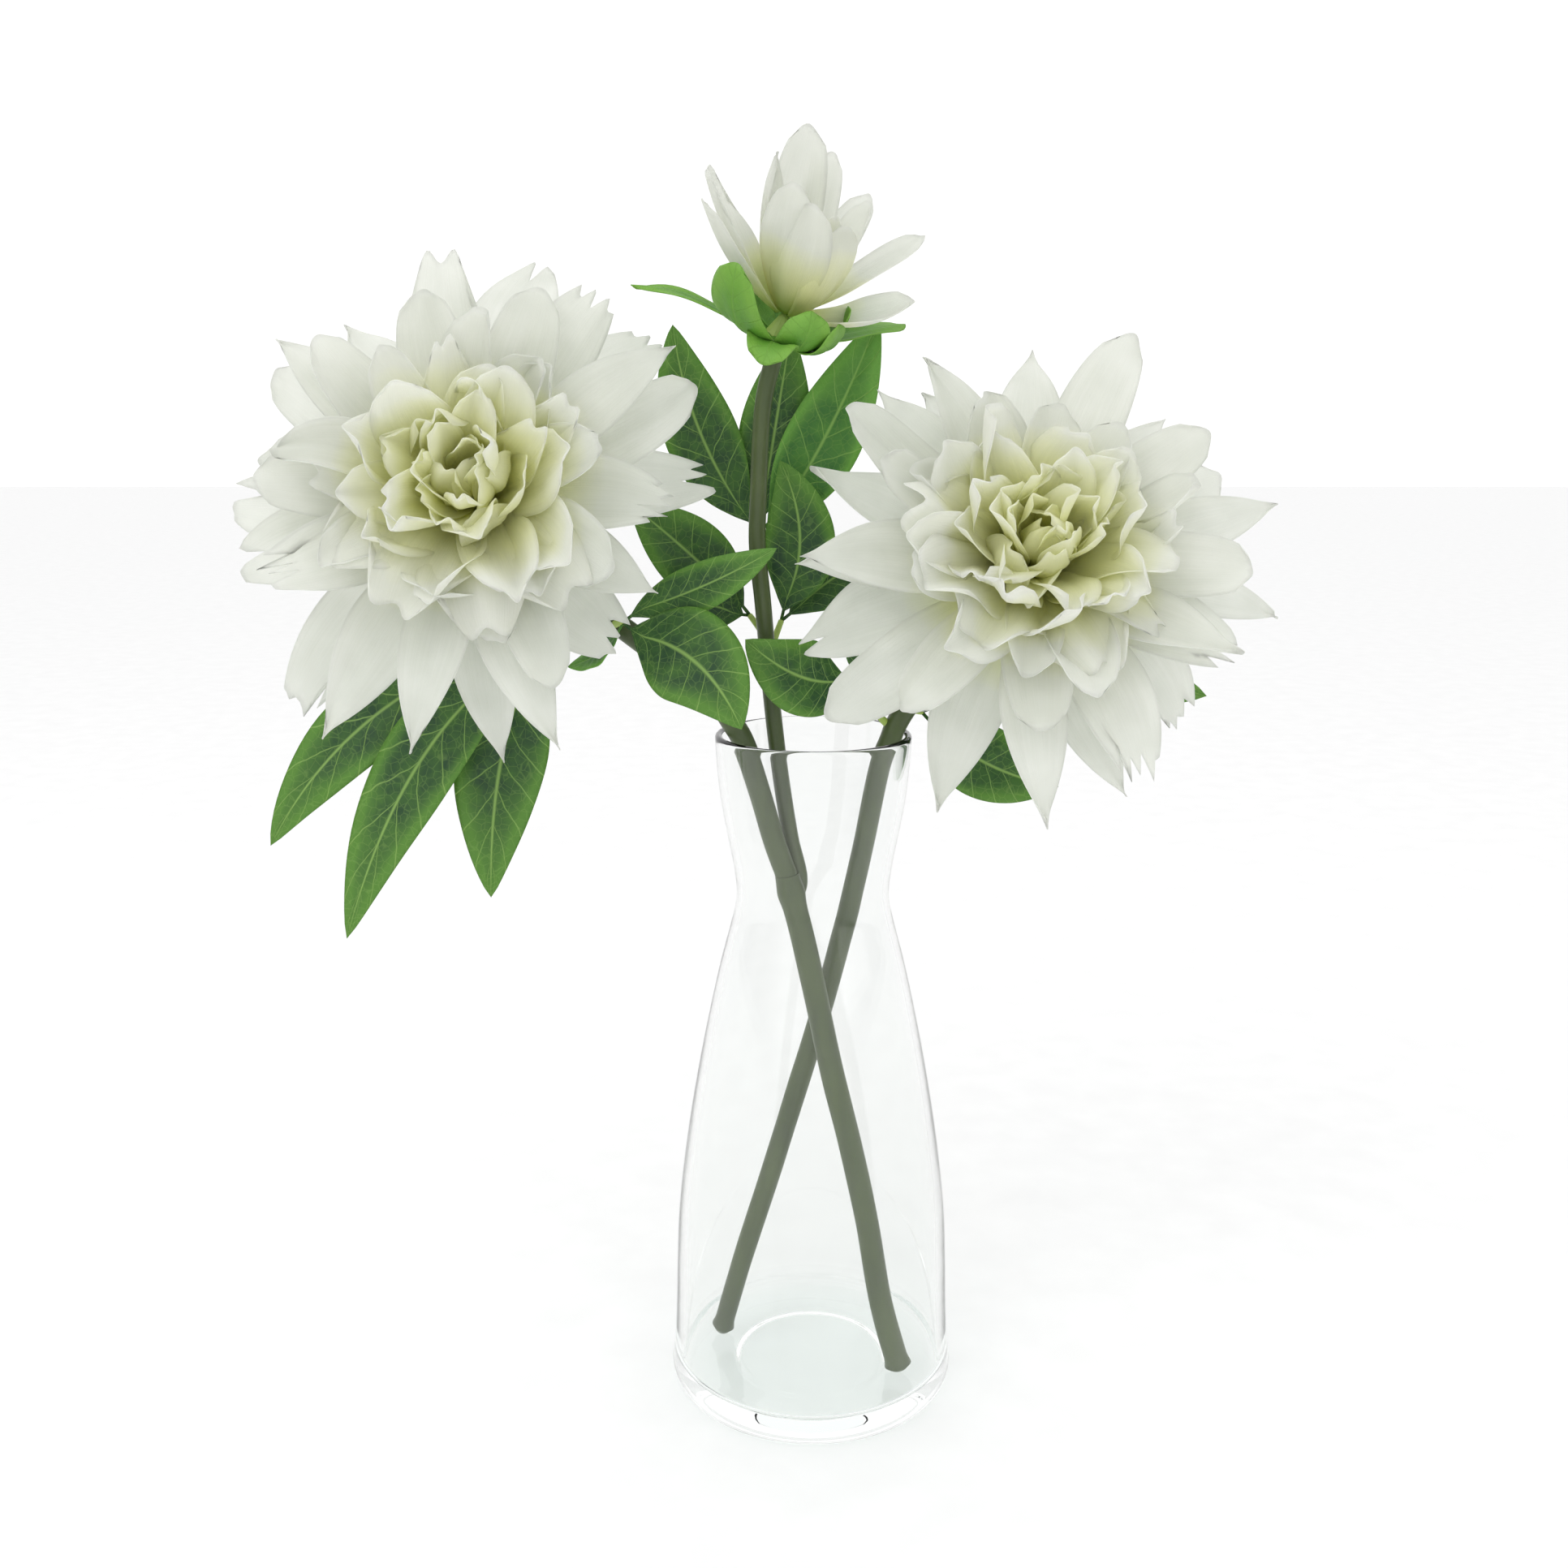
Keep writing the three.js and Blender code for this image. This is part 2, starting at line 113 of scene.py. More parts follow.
# ---- material helpers -------------------------------------------------------
class Nodes:
    """A short way to write a node tree: add nodes, set their inputs and join them."""

    def __init__(self, name):
        self.material = bpy.data.materials.new(name)
        self.material.use_nodes = True
        self.tree = self.material.node_tree
        self.shader = self.tree.nodes["Principled BSDF"]
        self.output = self.tree.nodes["Material Output"]

    def add(self, kind, **inputs):
        node = self.tree.nodes.new(kind)
        self.fill(node, inputs)
        return node

    def fill(self, node, inputs):
        for name, value in inputs.items():
            key = int(name[1:]) if name[0] == "i" and name[1:].isdigit() else name.replace("_", " ")
            if isinstance(value, bpy.types.NodeSocket):
                self.tree.links.new(value, node.inputs[key])
            else:
                node.inputs[key].default_value = value

    def math(self, operation, first, second=0.0, third=0.0):
        node = self.tree.nodes.new("ShaderNodeMath")
        node.operation = operation
        self.fill(node, {"i0": first, "i1": second, "i2": third})
        return node.outputs[0]

    def ramp(self, factor, *stops):
        node = self.add("ShaderNodeValToRGB", Fac=factor)
        ramp = node.color_ramp
        while len(ramp.elements) < len(stops):
            ramp.elements.new(0.5)
        for element, (place, colour) in zip(ramp.elements, stops):
            element.position = place
            element.color = (*colour, 1) if len(colour) == 3 else colour
        return node.outputs["Color"]

    def blend(self, factor, first, second, kind="MIX"):
        node = self.tree.nodes.new("ShaderNodeMix")
        node.data_type = "RGBA"
        node.blend_type = kind
        self.fill(node, {"i0": factor, "i6": first, "i7": second})
        return node.outputs[2]

    def noise(self, vector, scale, detail=3.0, roughness=0.5):
        node = self.add("ShaderNodeTexNoise", Vector=vector, Scale=scale)
        self.fill(node, {"Detail": detail, "Roughness": roughness})
        return node.outputs["Fac"]

    def stretch(self, vector, scale):
        return self.add("ShaderNodeMapping", Vector=vector, Scale=scale).outputs["Vector"]

    def object_place(self):
        return self.tree.nodes.new("ShaderNodeTexCoord").outputs["Object"]

    def sheet_place(self):
        node = self.tree.nodes.new("ShaderNodeUVMap")
        node.uv_map = "along"
        return node.outputs["UV"]

    def attribute(self, name):
        node = self.tree.nodes.new("ShaderNodeAttribute")
        node.attribute_name = name
        return node.outputs["Fac"]

    def bump(self, height, strength, distance):
        node = self.add("ShaderNodeBump", Height=height, Strength=strength, Distance=distance)
        return node.outputs["Normal"]

    def set(self, **inputs):
        self.fill(self.shader, inputs)

    def let_light_through(self, colour, normal, share):
        """Mixes a share of translucent shading into the surface, as thin cloth has."""
        glow = self.add("ShaderNodeBsdfTranslucent", Color=colour, Normal=normal)
        mix = self.add("ShaderNodeMixShader", Fac=share)
        self.tree.links.new(self.shader.outputs[0], mix.inputs[1])
        self.tree.links.new(glow.outputs[0], mix.inputs[2])
        self.tree.links.new(mix.outputs[0], self.output.inputs["Surface"])


def floor_material():
    n = Nodes("studio_floor")
    grain = n.noise(n.object_place(), 40)
    n.set(Base_Color=n.ramp(grain, (0.3, (0.90, 0.90, 0.90)), (0.7, (0.93, 0.93, 0.93))), Roughness=0.8)
    return n.material


def glass_material():
    n = Nodes("clear_glass")
    waves = n.noise(n.stretch(n.object_place(), (1, 1, 0.35)), 45, 1.0)
    smear = n.ramp(waves, (0.3, (0.0, 0.0, 0.0)), (0.9, (0.012, 0.012, 0.012)))
    n.set(Base_Color=(0.965, 0.973, 0.967, 1), Roughness=smear)
    n.set(Transmission_Weight=1.0, IOR=1.46, Normal=n.bump(waves, 0.05, 0.001))
    path = n.tree.nodes.new("ShaderNodeLightPath")
    clear = n.add("ShaderNodeBsdfTransparent", Color=(0.96, 0.975, 0.97, 1))
    lighting = n.math("MAXIMUM", path.outputs["Is Shadow Ray"], path.outputs["Is Diffuse Ray"])
    lighting = n.math("MAXIMUM", lighting, n.math("GREATER_THAN", path.outputs["Ray Depth"], 5.5))
    mix = n.add("ShaderNodeMixShader", Fac=lighting)
    n.tree.links.new(n.shader.outputs[0], mix.inputs[1])
    n.tree.links.new(clear.outputs[0], mix.inputs[2])
    n.tree.links.new(mix.outputs[0], n.output.inputs["Surface"])
    return n.material


def petal_material(name, shade, heart):
    """White cloth: fine fibres along the petal, a soft blotch, and a yellow-green heart."""
    n = Nodes(name)
    place = n.object_place()
    along = n.sheet_place()
    fibres = n.noise(n.stretch(along, (75, 2.2, 1)), 1.0, 4.0, 0.6)
    weave = n.noise(place, 1500, 2.0)
    blotch = n.noise(place, 55, 2.0)
    white = n.ramp(blotch, (0.3, shade), (0.7, (0.955, 0.96, 0.93)))
    near = n.math("ADD", n.attribute("heart"), n.math("MULTIPLY", n.math("SUBTRACT", blotch, 0.5), 0.35))
    tint = n.blend(n.ramp(near, (0.22, (0, 0, 0)), (0.92, (1, 1, 1))), white, (*heart, 1))
    streaks = n.ramp(fibres, (0.3, (0.955, 0.96, 0.95)), (0.65, (1, 1, 1)))
    colour = n.blend(1.0, tint, streaks, "MULTIPLY")
    height = n.math("ADD", n.math("MULTIPLY", fibres, 0.8), n.math("MULTIPLY", weave, 0.25))
    normal = n.bump(height, 0.35, 0.0006)
    n.set(Base_Color=colour, Roughness=0.78, Normal=normal, Specular_IOR_Level=0.25)
    n.shader.inputs["Sheen Weight"].default_value = 0.15
    n.let_light_through(colour, normal, 0.68)
    return n.material


def leaf_material(name, dark, light, vein):
    """Printed leaf cloth: dark blade, paler edge and tip, fine yellow-green veins."""
    n = Nodes(name)
    place = n.object_place()
    split = n.add("ShaderNodeSeparateXYZ", Vector=n.sheet_place())
    across = n.math("ABSOLUTE", n.math("MULTIPLY_ADD", split.outputs["X"], 2.0, -1.0))
    along = split.outputs["Y"]
    wander = n.math("MULTIPLY", n.math("SUBTRACT", n.noise(place, 90, 2.0), 0.5), 0.34)
    slant = n.math("MULTIPLY", n.math("POWER", across, 0.8), VEIN_SLANT)
    sweep = n.math("SUBTRACT", n.math("MULTIPLY", along, VEIN_PAIRS), slant)
    rows = n.math("FRACT", n.math("ADD", sweep, wander))
    lateral = n.math("ABSOLUTE", n.math("SUBTRACT", rows, 0.5))
    side_veins = n.ramp(lateral, (0.0, (1, 1, 1)), (0.04, (0, 0, 0)))
    midrib = n.ramp(across, (0.015, (1, 1, 1)), (0.06, (0, 0, 0)))
    cells = n.tree.nodes.new("ShaderNodeTexVoronoi")
    cells.feature = "DISTANCE_TO_EDGE"
    n.fill(cells, {"Vector": place, "Scale": 330.0})
    net = n.ramp(cells.outputs["Distance"], (0.0, (0.28, 0.28, 0.28)), (0.06, (0, 0, 0)))
    veins = n.math("MAXIMUM", n.math("MAXIMUM", side_veins, midrib), net)
    mottle = n.noise(place, 130, 4.0, 0.6)
    between = tuple(0.45 * a + 0.55 * b for a, b in zip(dark, light))
    patches = n.ramp(mottle, (0.35, (0, 0, 0)), (0.75, (1, 1, 1)))
    blade = n.blend(patches, (*dark, 1), (*between, 1))
    rim = n.math("MULTIPLY", n.math("POWER", across, 3.0), 0.75)
    end = n.ramp(n.math("ADD", along, rim), (0.62, (0, 0, 0)), (1.25, (1, 1, 1)))
    colour = n.blend(end, blade, (*light, 1))
    colour = n.blend(n.math("MULTIPLY", veins, 0.72), colour, (*vein, 1))
    grain = n.noise(place, 1600, 2.0)
    height = n.math("SUBTRACT", n.math("MULTIPLY", grain, 0.35), n.math("MULTIPLY", veins, 0.6))
    normal = n.bump(height, 0.45, 0.0006)
    n.set(Base_Color=colour, Normal=normal, Specular_IOR_Level=0.4)
    n.set(Roughness=n.ramp(mottle, (0.3, (0.42, 0.42, 0.42)), (0.7, (0.58, 0.58, 0.58))))
    n.let_light_through(colour, normal, 0.12)
    return n.material


def stalk_material(name, dark, light, roughness):
    """Moulded green plastic with soft streaks along it and a fine grain."""
    n = Nodes(name)
    place = n.object_place()
    streaks = n.noise(n.stretch(place, (1, 1, 0.12)), 260, 3.0)
    patches = n.noise(place, 28, 2.0)
    tone = n.math("ADD", n.math("MULTIPLY", streaks, 0.45), n.math("MULTIPLY", patches, 0.55))
    n.set(Base_Color=n.ramp(tone, (0.35, dark), (0.65, light)))
    n.set(Roughness=n.ramp(patches, (0.3, (roughness - 0.06,) * 3), (0.7, (roughness + 0.08,) * 3)))
    n.set(Normal=n.bump(n.noise(place, 900, 3.0), 0.25, 0.0005))
    return n.material


# ---- mesh helpers -----------------------------------------------------------
class Sheets:
    """Collects grids of points, in millimetres, that become one mesh."""

    def __init__(self):
        self.points = []
        self.faces = []
        self.along = []
        self.heart = []

    def grid(self, rows, heart_at=None):
        """Each row is a list of (point, across 0 to 1, along 0 to 1)."""
        first = len(self.points)
        width = len(rows[0])
        for row in rows:
            for point, across, along in row:
                self.points.append(point * MM)
                self.along.append((across, along))
                self.heart.append(heart_at(point) if heart_at else 0.0)
        for i in range(len(rows) - 1):
            for j in range(width - 1):
                a = first + i * width + j
                self.faces.append((a, a + 1, a + 1 + width, a + width))

    def build(self, name, material, node, thickness):
        mesh = bpy.data.meshes.new(name)
        mesh.from_pydata(self.points, [], self.faces)
        layer = mesh.uv_layers.new(name="along")
        for loop in mesh.loops:
            layer.data[loop.index].uv = self.along[loop.vertex_index]
        mesh.attributes.new("heart", "FLOAT", "POINT").data.foreach_set("value", self.heart)
        mesh.polygons.foreach_set("use_smooth", [True] * len(mesh.polygons))
        piece = place_piece(name, mesh, material, node)
        cloth = piece.modifiers.new("thickness", "SOLIDIFY")
        cloth.thickness = thickness * MM
        cloth.offset = 0
        return piece


def place_piece(name, mesh, material, node):
    mesh.materials.append(material)
    piece = bpy.data.objects.new(name, mesh)
    bpy.context.scene.collection.objects.link(piece)
    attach(piece, "root")
    if node:
        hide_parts(node)
    return piece


def smooth_path(points, count):
    """Centripetal Catmull-Rom curve through the points, at count even steps of its parameter."""
    knots = [Vector(p) for p in points]
    knots = [2 * knots[0] - knots[1], *knots, 2 * knots[-1] - knots[-2]]
    made = []
    spans = len(knots) - 3
    for step in range(count + 1):
        place = min(step * spans / count, spans - 1e-9)
        span = int(place)
        p = knots[span:span + 4]
        t = [0.0]
        for a, b in zip(p, p[1:]):
            t.append(t[-1] + max((b - a).length ** 0.5, 1e-6))
        now = t[1] + (place - span) * (t[2] - t[1])

        def mix(a, b, ta, tb):
            return a + (b - a) * ((now - ta) / (tb - ta))

        low = [mix(p[i], p[i + 1], t[i], t[i + 1]) for i in range(3)]
        mid = [mix(low[i], low[i + 1], t[i], t[i + 2]) for i in range(2)]
        made.append(mix(mid[0], mid[1], t[1], t[2]))
    return made


def lathe(outline, facets):
    """A closed surface of revolution about Z. The outline runs from the axis back to the axis."""
    points = [Vector((0, 0, outline[0][1])) * MM]
    faces = []
    for radius, z in outline[1:-1]:
        for i in range(facets):
            angle = 2 * math.pi * i / facets
            points.append(Vector((radius * math.cos(angle), radius * math.sin(angle), z)) * MM)
    points.append(Vector((0, 0, outline[-1][1])) * MM)
    rings = len(outline) - 2
    for i in range(facets):
        j = (i + 1) % facets
        faces.append((0, 1 + j, 1 + i))
        for ring in range(rings - 1):
            a = 1 + ring * facets
            faces.append((a + i, a + j, a + facets + j, a + facets + i))
        last = 1 + (rings - 1) * facets
        faces.append((last + i, last + j, len(points) - 1))
    return points, faces


def tube(path, radius_at, sides=20):
    """A closed tube along path, with its radius a function of the distance share 0 to 1."""
    points = []
    faces = []
    side = (path[1] - path[0]).orthogonal().normalized()
    lengths = [0.0]
    for a, b in zip(path, path[1:]):
        lengths.append(lengths[-1] + (b - a).length)
    for i, centre in enumerate(path):
        ahead = path[min(i + 1, len(path) - 1)] - path[max(i - 1, 0)]
        ahead.normalize()
        side = (side - ahead * side.dot(ahead)).normalized()
        other = ahead.cross(side)
        radius = radius_at(lengths[i] / lengths[-1], lengths[i])
        for k in range(sides):
            angle = 2 * math.pi * k / sides
            points.append((centre + radius * (side * math.cos(angle) + other * math.sin(angle))) * MM)
    for i in range(len(path) - 1):
        for k in range(sides):
            a = i * sides + k
            b = i * sides + (k + 1) % sides
            faces.append((a, b, b + sides, a + sides))
    faces.append(tuple(reversed(range(sides))))
    last = (len(path) - 1) * sides
    faces.append(tuple(range(last, last + sides)))
    return points, faces


def solid_piece(name, points, faces, material, node):
    mesh = bpy.data.meshes.new(name)
    mesh.from_pydata(points, [], faces)
    mesh.polygons.foreach_set("use_smooth", [len(f.vertices) < 8 for f in mesh.polygons])
    return place_piece(name, mesh, material, node)


def smooth_step(x):
    x = min(max(x, 0.0), 1.0)
    return x * x * (3 - 2 * x)


# ---- vase -------------------------------------------------------------------
VASE_HEIGHT = 255
RIM_WALL = 2.5
FLOOR_THICKNESS = 9.3
PUNT_RADIUS, PUNT_HEIGHT, PUNT_EDGE = 27, 1.5, 3.5
FOOT_ROUNDING = (50.3, 4.0, 7.0)  # where it starts, its width and its height
FLOOR_CORNER = 3.2
VASE_OUTLINE = [
    (54.3, 7), (53.3, 15), (52.5, 30), (51.9, 50), (50.9, 70), (47.6, 98),
    (43.4, 124), (38.3, 150), (33.9, 169.5), (30.6, 182), (28.5, 191), (28.1, 197),
    (29.3, 207), (31.7, 219.5), (33.8, 232), (35.0, 244), (35.5, VASE_HEIGHT - RIM_WALL / 2),
]


def build_vase():
    outer = [(p.x, p.y) for p in smooth_path([(r, z, 0) for r, z in VASE_OUTLINE], 96)]
    wall = [RIM_WALL + 1.4 * max(0, 1 - z / 190) for _, z in outer]
    inner = [(r - w, z) for (r, z), w in zip(outer, wall)]
    outline = [(0, PUNT_HEIGHT), (PUNT_RADIUS - PUNT_EDGE, PUNT_HEIGHT)]
    for i in range(9):
        share = i / 8
        outline.append((PUNT_RADIUS + PUNT_EDGE * share, PUNT_HEIGHT * (1 - smooth_step(share))))
    outline.append((42, 0))
    start, width, height = FOOT_ROUNDING
    for i in range(9):
        angle = math.radians(10 * i)
        outline.append((start + width * math.sin(angle), height * (1 - math.cos(angle))))
    outline += outer
    lip = RIM_WALL / 2
    for i in range(1, 9):
        angle = math.radians(20 * i)
        outline.append((35.5 - lip + lip * math.cos(angle), VASE_HEIGHT - lip + lip * math.sin(angle)))
    outline += [p for p in reversed(inner) if p[1] > FLOOR_THICKNESS + FLOOR_CORNER + 1]
    wall_foot = inner[0][0] - 0.6
    for i in range(9):
        angle = math.radians(90 * i / 8)
        across = wall_foot - FLOOR_CORNER * (1 - math.cos(angle))
        outline.append((across, FLOOR_THICKNESS + FLOOR_CORNER * (1 - math.sin(angle))))
    outline += [(30, FLOOR_THICKNESS), (14, FLOOR_THICKNESS), (0, FLOOR_THICKNESS)]
    points, faces = lathe(outline, 128)
    solid_piece("vase", points, faces, glass_material(), "glass_vase")


# ---- stems ------------------------------------------------------------------
MAIN_STEM = [
    (33, -18.5, 11.2), (26.2, -16.6, 37), (20.4, -14.7, 71), (14, -13, 101),
    (7.2, -11.8, 129), (0.5, -9.9, 161), (-4.8, -8.4, 185), (-9.0, -7, 202),
]
LEFT_BRANCH = [
    (-9.2, -7, 202.9), (-13.8, -7.4, 216), (-19.3, -8, 235.4), (-25.3, -8.7, 253.9), (-29.4, -9, 261),
    (-35, -9.3, 269.5), (-44.6, -9.7, 276.8), (-70.7, -8, 296.6), (-98, 4, 313), (-113, 8, 325),
    (-116, 0, 331), (-114.4, -14, 333.2),
]
TOP_BRANCH = [
    (-4.9, -0.2, 199), (-8.2, -0.6, 216.3), (-11.8, -0.8, 239.4), (-15, -0.6, 267), (-18.1, -0.4, 302),
    (-20, -0.3, 322), (-19.7, -0.2, 336), (-17.6, -0.2, 371), (-13.5, -0.6, 388.5),
]
FORK_ROOT = (-8.3, -5.2, 192)
RIGHT_STEM = [
    (-36, 8, 10.8), (-27.6, 7.6, 41), (-16.6, 7, 77), (-6.2, 6.6, 112.6), (3.6, 6.2, 146.5),
    (11.9, 5.6, 179.6), (18.3, 4.6, 208.7), (25.1, 3, 244), (28.0, 2.2, 252), (30.0, 2.2, 257.5),
    (36.4, 3.4, 267.2), (52, 6, 281), (66, 4, 293), (71, -6, 299.5), (71, -18, 306),
]


def stem_radius(base, collar_at=None, foot=False):
    """A stem's radius: slightly uneven, with a moulded foot ring or a swelling where it forks."""
    def radius(share, distance):
        made = base * (1 + 0.02 * noise.noise(Vector((distance * 0.05, base, 0))))
        if foot:
            made += 0.8 * math.exp(-((distance - 1.8) / 1.7) ** 2)
            made -= 1.6 * math.exp(-distance / 0.6)
        if collar_at is not None:
            made += 0.7 * math.exp(-((share - collar_at) / 0.02) ** 2)
        return made
    return radius


def build_stems(plastic):
    def stem(name, route, steps, radius):
        points, faces = tube(smooth_path(route, steps), radius)
        solid_piece(name, points, faces, plastic, name)

    forked = stem_radius(4.4, collar_at=0.965, foot=True)
    stem("forked_stem", MAIN_STEM + [(-9.4, -7, 204.2)], 120, forked)
    stem("left_branch", LEFT_BRANCH, 150, stem_radius(3.95))
    stem("top_branch", [FORK_ROOT] + TOP_BRANCH, 150, stem_radius(3.0))
    stem("right_stem", RIGHT_STEM, 180, stem_radius(4.0, foot=True))


# ---- petals -----------------------------------------------------------------
class Bloom:
    """A bloom's hub, the axis out of its face, and its sideways and upward directions."""

    def __init__(self, hub, axis):
        self.hub = Vector(hub)
        self.axis = Vector(axis).normalized()
        self.across = Vector((0, 0, 1)).cross(self.axis).normalized()
        self.up = self.axis.cross(self.across)

    def outward(self, azimuth):
        angle = math.radians(azimuth)
        return self.across * math.cos(angle) + self.up * math.sin(angle)

    def heart(self, reach):
        """How yellow a point is: 1 in the middle of the bloom, 0 beyond reach."""
        centre = self.hub + self.axis * 14
        return lambda point: max(0.0, 1 - (point - centre).length / reach)


def tip_round(v, teeth):
    return 0.045 * v * v


def tip_point(v, teeth):
    return 0.04 * abs(v) ** 1.5


def tip_fringe(v, teeth):
    """Ragged pointed teeth, as cut cloth has."""
    place = (v + 1) / 2 * (len(teeth) - 1)
    k = min(int(place), len(teeth) - 2)
    share = place - k
    return 0.05 * v * v + 0.20 * ((1 - share) * teeth[k] + share * teeth[k + 1])


def tip_notch(v, teeth):
    return 0.06 * v * v + 0.15 * max(0.0, 1 - abs(v - 0.1) * 3.2)


def tip_lobes(v, teeth):
    """Two broad round lobes."""
    return 0.20 * v ** 4 + 0.035 * math.cos(2 * math.pi * v) + 0.03


# Per tip: how it is cut, where the sides start to close, the width left at the end, how round.
TIPS = {
    "round": (tip_round, 0.50, 0.36, 2.0),
    "point": (tip_point, 0.50, 0.03, 1.0),
    "fringe": (tip_fringe, 0.60, 0.55, 1.2),
    "notch": (tip_notch, 0.55, 0.36, 1.3),
    "lobes": (tip_lobes, 0.62, 0.60, 1.4),
}
PETAL = {
    "tip": "round", "cup": 0.3, "fold": 0.0, "curl": 0.0, "ruffle": 1.0, "wavy": 0.6, "pleat": 0.3,
    "roll": 0.0, "sway": 0.0, "wave": 0.0, "wide_at": 0.6, "base": 0.24,
}


def petal_breadth(t, tip, wide_at, base):
    """Share of the full width at distance t along the petal."""
    _, closing, left, roundness = TIPS[tip]
    breadth = base + (1 - base) * math.sin(math.pi / 2 * min(1, t / wide_at)) ** 0.9
    if t > closing:
        share = (t - closing) / (1 - closing)
        if roundness == 2.0:
            end = math.sqrt(max(0.0, 1 - share * share))
        else:
            end = 1 - share ** (1.6 + 0.5 * roundness)
        breadth *= left + (1 - left) * end
    return breadth


def petal_spine(petal, steps):
    """The petal's centre line from the side: radius, height and rise at even steps."""
    start, end = petal["rise"]
    radius, height = petal["foot"]
    spine = [(radius, height, math.radians(start))]
    for i in range(1, steps + 1):
        t = (i - 0.5) / steps
        rise = start + (end - start) * t + petal["curl"] * smooth_step((t - 0.45) / 0.55)
        rise = math.radians(rise + petal["wave"] * math.sin(math.pi * t * 1.6))
        radius += math.cos(rise) * petal["length"] / steps
        height += math.sin(rise) * petal["length"] / steps
        spine.append((radius, height, rise))
    return spine


def add_petal(sheets, bloom, wanted, rng, rows=20, columns=12):
    """One petal: an arched centre line with a cupped, pleated and ruffled sheet across it."""
    petal = {**PETAL, **wanted}
    cut = TIPS[petal["tip"]][0]
    teeth = [rng.random() if k % 2 else 0.3 * rng.random() for k in range(rng.choice((7, 9)))]
    phase = rng.uniform(0, 2 * math.pi)
    far_phase = rng.uniform(0, 2 * math.pi)
    ripples = rng.uniform(2.2, 3.6)
    bend = petal["cup"] * 1.1
    narrowing = 1 - 0.16 * abs(bend) - 0.25 * abs(petal["fold"])
    fine = 4 * rows
    spine = petal_spine(petal, fine)
    grid = []
    for i in range(rows + 1):
        row = []
        breadth = petal_breadth(i / rows, petal["tip"], petal["wide_at"], petal["base"])
        for j in range(columns + 1):
            v = 2 * j / columns - 1
            t = (i / rows) * (1 - cut(v, teeth))
            place = max(0.0, t) * fine
            k = min(int(place), fine - 1)
            radius, height, rise = (a + (b - a) * (place - k) for a, b in zip(spine[k], spine[k + 1]))
            out = bloom.outward(petal["azimuth"] + petal["sway"] * t * t)
            ahead = out * math.cos(rise) + bloom.axis * math.sin(rise)
            normal = bloom.axis * math.cos(rise) - out * math.sin(rise)
            side = bloom.axis.cross(out)
            turn = Matrix.Rotation(math.radians(petal["roll"]) * t, 3, ahead)
            side, normal = turn @ side, turn @ normal
            half = petal["width"] / 2 * breadth
            lift = half * math.sin(abs(v) * bend) * math.tan(bend * 0.5) * abs(v)
            lift += petal["fold"] * half * abs(v)
            pleats = math.sin(8.5 * v + phase) * math.sin(math.pi * min(1, t * 1.1))
            lift += petal["pleat"] * pleats * half / 10
            edge = abs(v) ** 2.5 * smooth_step(t * 1.8)
            lift += petal["ruffle"] * edge * math.sin(ripples * 3.1 * t + (phase if v > 0 else far_phase))
            lift += petal["wavy"] * smooth_step(t * 1.6 - 0.6) * math.sin(ripples * 1.3 * v + far_phase)
            point = bloom.hub + out * radius + bloom.axis * height
            point += side * (v * half * narrowing) + normal * lift
            row.append((point, (v + 1) / 2, t))
        grid.append(row)
    sheets.grid(grid, bloom.heart(petal["heart_reach"]))


def open_ring(number):
    """Where the petals of a ring of an open bloom start: radius and height, ring 0 at the back."""
    height = 1.5 * (number + 0.55)
    radius = 7.5 - (6.7 / 13) * height + 0.8
    return radius, height


RING_RISE = [(10, -20), (19.5, -4), (29, 12), (38.5, 26), (48, 38), (57.5, 50), (67, 62), (76.5, 74)]
OUTER_WIDTH = {"round": 25, "point": 25, "fringe": 28, "notch": 31, "lobes": 33}
# Inner rings of an open bloom: petals, length, width, curl at the tip, waviness.
INNER_RINGS = [
    (12, 58, 24, 0, 1.4),
    (11, 53, 25, 10, 1.8),
    (10, 45, 23, 18, 2.0),
    (9, 43, 20, 24, 1.6),
    (8, 39, 16, 26, 1.2),
]


def outer_petal(ring, start, end, length, tip, rng):
    """A long petal of the three rings at the back, lying flatter the further back it is."""
    return {
        "length": length, "tip": tip, "heart_reach": OPEN_HEART_REACH,
        "width": OUTER_WIDTH[tip] * rng.uniform(0.92, 1.08),
        "rise": (start, start + (end - start) * length / ARC_LENGTH + rng.uniform(-6, 6)),
        "cup": rng.uniform(0.15, 0.55), "fold": rng.uniform(-0.05, 0.12), "curl": rng.uniform(-22, 10),
        "ruffle": rng.uniform(0.5, 1.6), "wavy": rng.uniform(0.2, 1.2), "pleat": rng.uniform(0.2, 0.5),
        "roll": rng.uniform(-18, 18), "sway": rng.uniform(-6, 6), "wave": rng.uniform(-6, 6),
    }


def inner_petal(start, end, length, width, curl, wavy, rng):
    """A spoon-shaped petal of the full middle, cupped and curled every which way."""
    made = length * rng.uniform(0.84, 1.08)
    tip_rise = start + (end - start) * made / ARC_LENGTH
    return {
        "length": made, "tip": rng.choice(["round", "round", "round", "round", "lobes"]),
        "width": width * rng.uniform(0.95, 1.25), "heart_reach": OPEN_HEART_REACH,
        "rise": (start + rng.uniform(-6, 6), tip_rise + rng.uniform(-14, 14)),
        "cup": rng.uniform(0.4, 0.95), "fold": rng.uniform(-0.08, 0.12),
        "curl": curl + rng.uniform(-44, 40), "ruffle": rng.uniform(0.6, 1.8),
        "wavy": wavy * rng.uniform(0.3, 1.2), "pleat": rng.uniform(0.2, 0.5),
        "roll": rng.uniform(-40, 40), "sway": rng.uniform(-12, 12), "wave": rng.uniform(-8, 8),
        "wide_at": 0.8,
    }


